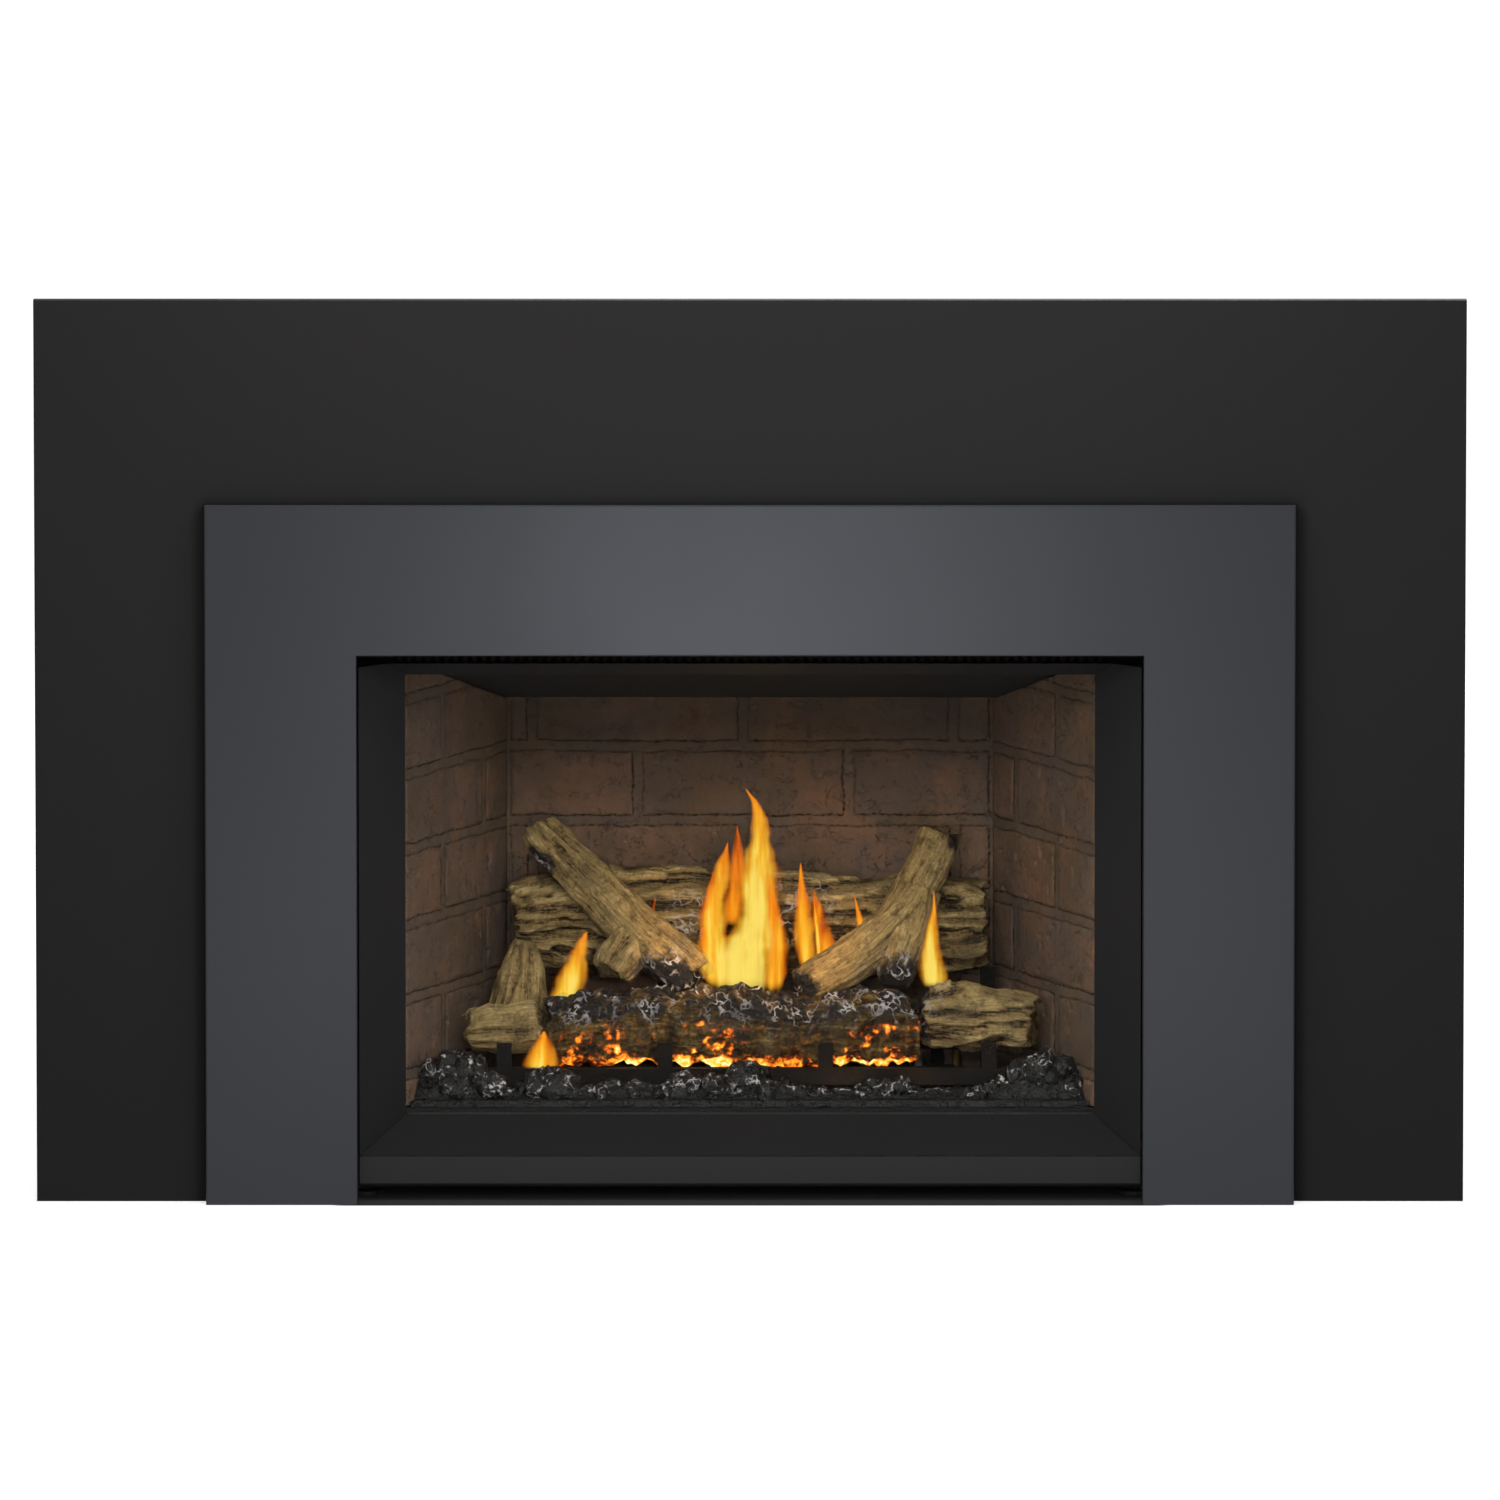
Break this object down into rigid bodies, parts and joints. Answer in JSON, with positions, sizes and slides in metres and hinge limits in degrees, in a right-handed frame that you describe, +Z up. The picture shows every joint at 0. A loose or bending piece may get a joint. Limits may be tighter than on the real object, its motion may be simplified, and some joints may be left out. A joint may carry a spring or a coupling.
{
  "type": "gas fireplace insert",
  "caption": "Direct-vent gas fireplace insert with brick-lined firebox, log set, tilting glass door, stepped front surround and wide backer plate.",
  "frame": {"origin": "bottom centre of the bounding box, on the hearth", "axes": "+X to the right seen from the room, +Y away from the room into the chimney opening, +Z up"},
  "size_m": [1.05, 0.4, 0.666],
  "materials": {
    "backer_paint": "satin charcoal powder coat",
    "surround_paint": "satin metallic grey coat",
    "black_paint": "heat-resistant black paint",
    "galvanised_steel": "bright zinc-coated sheet",
    "cast_black": "matt black",
    "brick_fibre": "moulded brown brick relief",
    "log_ceramic": "moulded bark, hand-coloured tan",
    "charred_ceramic": "charred bark with pale ash",
    "gas_brass": "machined",
    "black_plastic": "fine moulded texture",
    "rope_gasket": "woven fibre rope",
    "electrode_ceramic": "white insulator",
    "ceramic_glass": "clear heat-resistant glass"
  },
  "bodies": {
    "root": {"backer_plate": "backer_paint", "front_frame": "black_paint", "firebox_shell": "black_paint", "ceiling_baffle": "black_paint", "base_pan": "galvanised_steel", "case_left_panel": "galvanised_steel", "case_right_panel": "galvanised_steel", "case_rear_panel": "galvanised_steel", "case_top_panel": "galvanised_steel", "surround_hanger_rail": "galvanised_steel", "left_door_catch": "galvanised_steel", "right_door_catch": "galvanised_steel", "venturi_tube": "galvanised_steel", "pilot_burner": "galvanised_steel", "control_bracket": "galvanised_steel", "blower_housing": "galvanised_steel", "exhaust_collar": "galvanised_steel", "air_intake_collar": "galvanised_steel", "front_left_levelling_foot": "cast_black", "front_right_levelling_foot": "cast_black", "rear_left_levelling_foot": "cast_black", "rear_right_levelling_foot": "cast_black", "log_grate": "cast_black", "burner_pan": "cast_black", "blower_motor": "cast_black", "rear_brick_panel": "brick_fibre", "left_brick_panel": "brick_fibre", "right_brick_panel": "brick_fibre", "rear_log": "log_ceramic", "front_left_log": "log_ceramic", "front_right_log": "log_ceramic", "left_cross_log": "log_ceramic", "right_cross_log": "log_ceramic", "left_stump_log": "log_ceramic", "centre_charred_log": "charred_ceramic", "ember_bed": "charred_ceramic", "gas_valve": "gas_brass", "gas_inlet_fitting": "gas_brass", "gas_supply_tube": "gas_brass", "thermopile": "gas_brass", "igniter_body": "black_plastic", "power_inlet": "black_plastic", "spark_electrode": "electrode_ceramic"},
    "front_surround": {"front_surround": "surround_paint"},
    "glass_door": {"bezel_bottom": "black_paint", "bezel_top": "black_paint", "bezel_left": "black_paint", "bezel_right": "black_paint", "glass_frame": "black_paint", "glass_pane": "ceramic_glass", "glass_gasket": "rope_gasket", "air_outlet_comb": "cast_black"},
    "access_bar": {"access_bar": "backer_paint"},
    "gas_knob": {"gas_valve_knob": "black_plastic"},
    "flame_knob": {"flame_height_knob": "black_plastic"},
    "igniter_button": {"igniter_button": "black_plastic"},
    "fan_dial": {"fan_speed_dial": "black_plastic"},
    "blower_wheel": {"blower_wheel": "black_paint"},
    "air_shutter": {"air_shutter": "galvanised_steel"}
  },
  "joints": [
    {"name": "surround_lift", "type": "slide", "parent": "root", "child": "front_surround", "axis": [0, 0, 1], "range_m": [0, 0.018]},
    {"name": "glass_door_tilt", "type": "hinge", "parent": "root", "child": "glass_door", "pos_m": [0, -0.176, 0.0331], "axis": [1, 0, 0], "range_deg": [0, 30]},
    {"name": "access_bar_drop", "type": "hinge", "parent": "root", "child": "access_bar", "pos_m": [0, -0.176, 0.0116], "axis": [1, 0, 0], "range_deg": [0, 90]},
    {"name": "gas_knob_turn", "type": "hinge", "parent": "root", "child": "gas_knob", "pos_m": [0.134, -0.145, 0.027], "axis": [0, 1, 0], "range_deg": [0, 180]},
    {"name": "flame_knob_turn", "type": "hinge", "parent": "root", "child": "flame_knob", "pos_m": [0.176, -0.145, 0.027], "axis": [0, 1, 0], "range_deg": [0, 100]},
    {"name": "igniter_press", "type": "slide", "parent": "root", "child": "igniter_button", "axis": [0, 1, 0], "range_m": [0, 0.005], "stiffness_N_per_m": 400, "springref_m": -0.002},
    {"name": "fan_dial_turn", "type": "hinge", "parent": "root", "child": "fan_dial", "pos_m": [0.266, -0.145, 0.027], "axis": [0, 1, 0], "range_deg": [0, 270]},
    {"name": "blower_wheel_spin", "type": "hinge", "parent": "root", "child": "blower_wheel", "pos_m": [0, 0.146, 0.052], "axis": [1, 0, 0], "continuous": true},
    {"name": "air_shutter_turn", "type": "hinge", "parent": "root", "child": "air_shutter", "pos_m": [0.141, -0.035, 0.072], "axis": [1, 0, 0], "range_deg": [0, 60]}
  ]
}
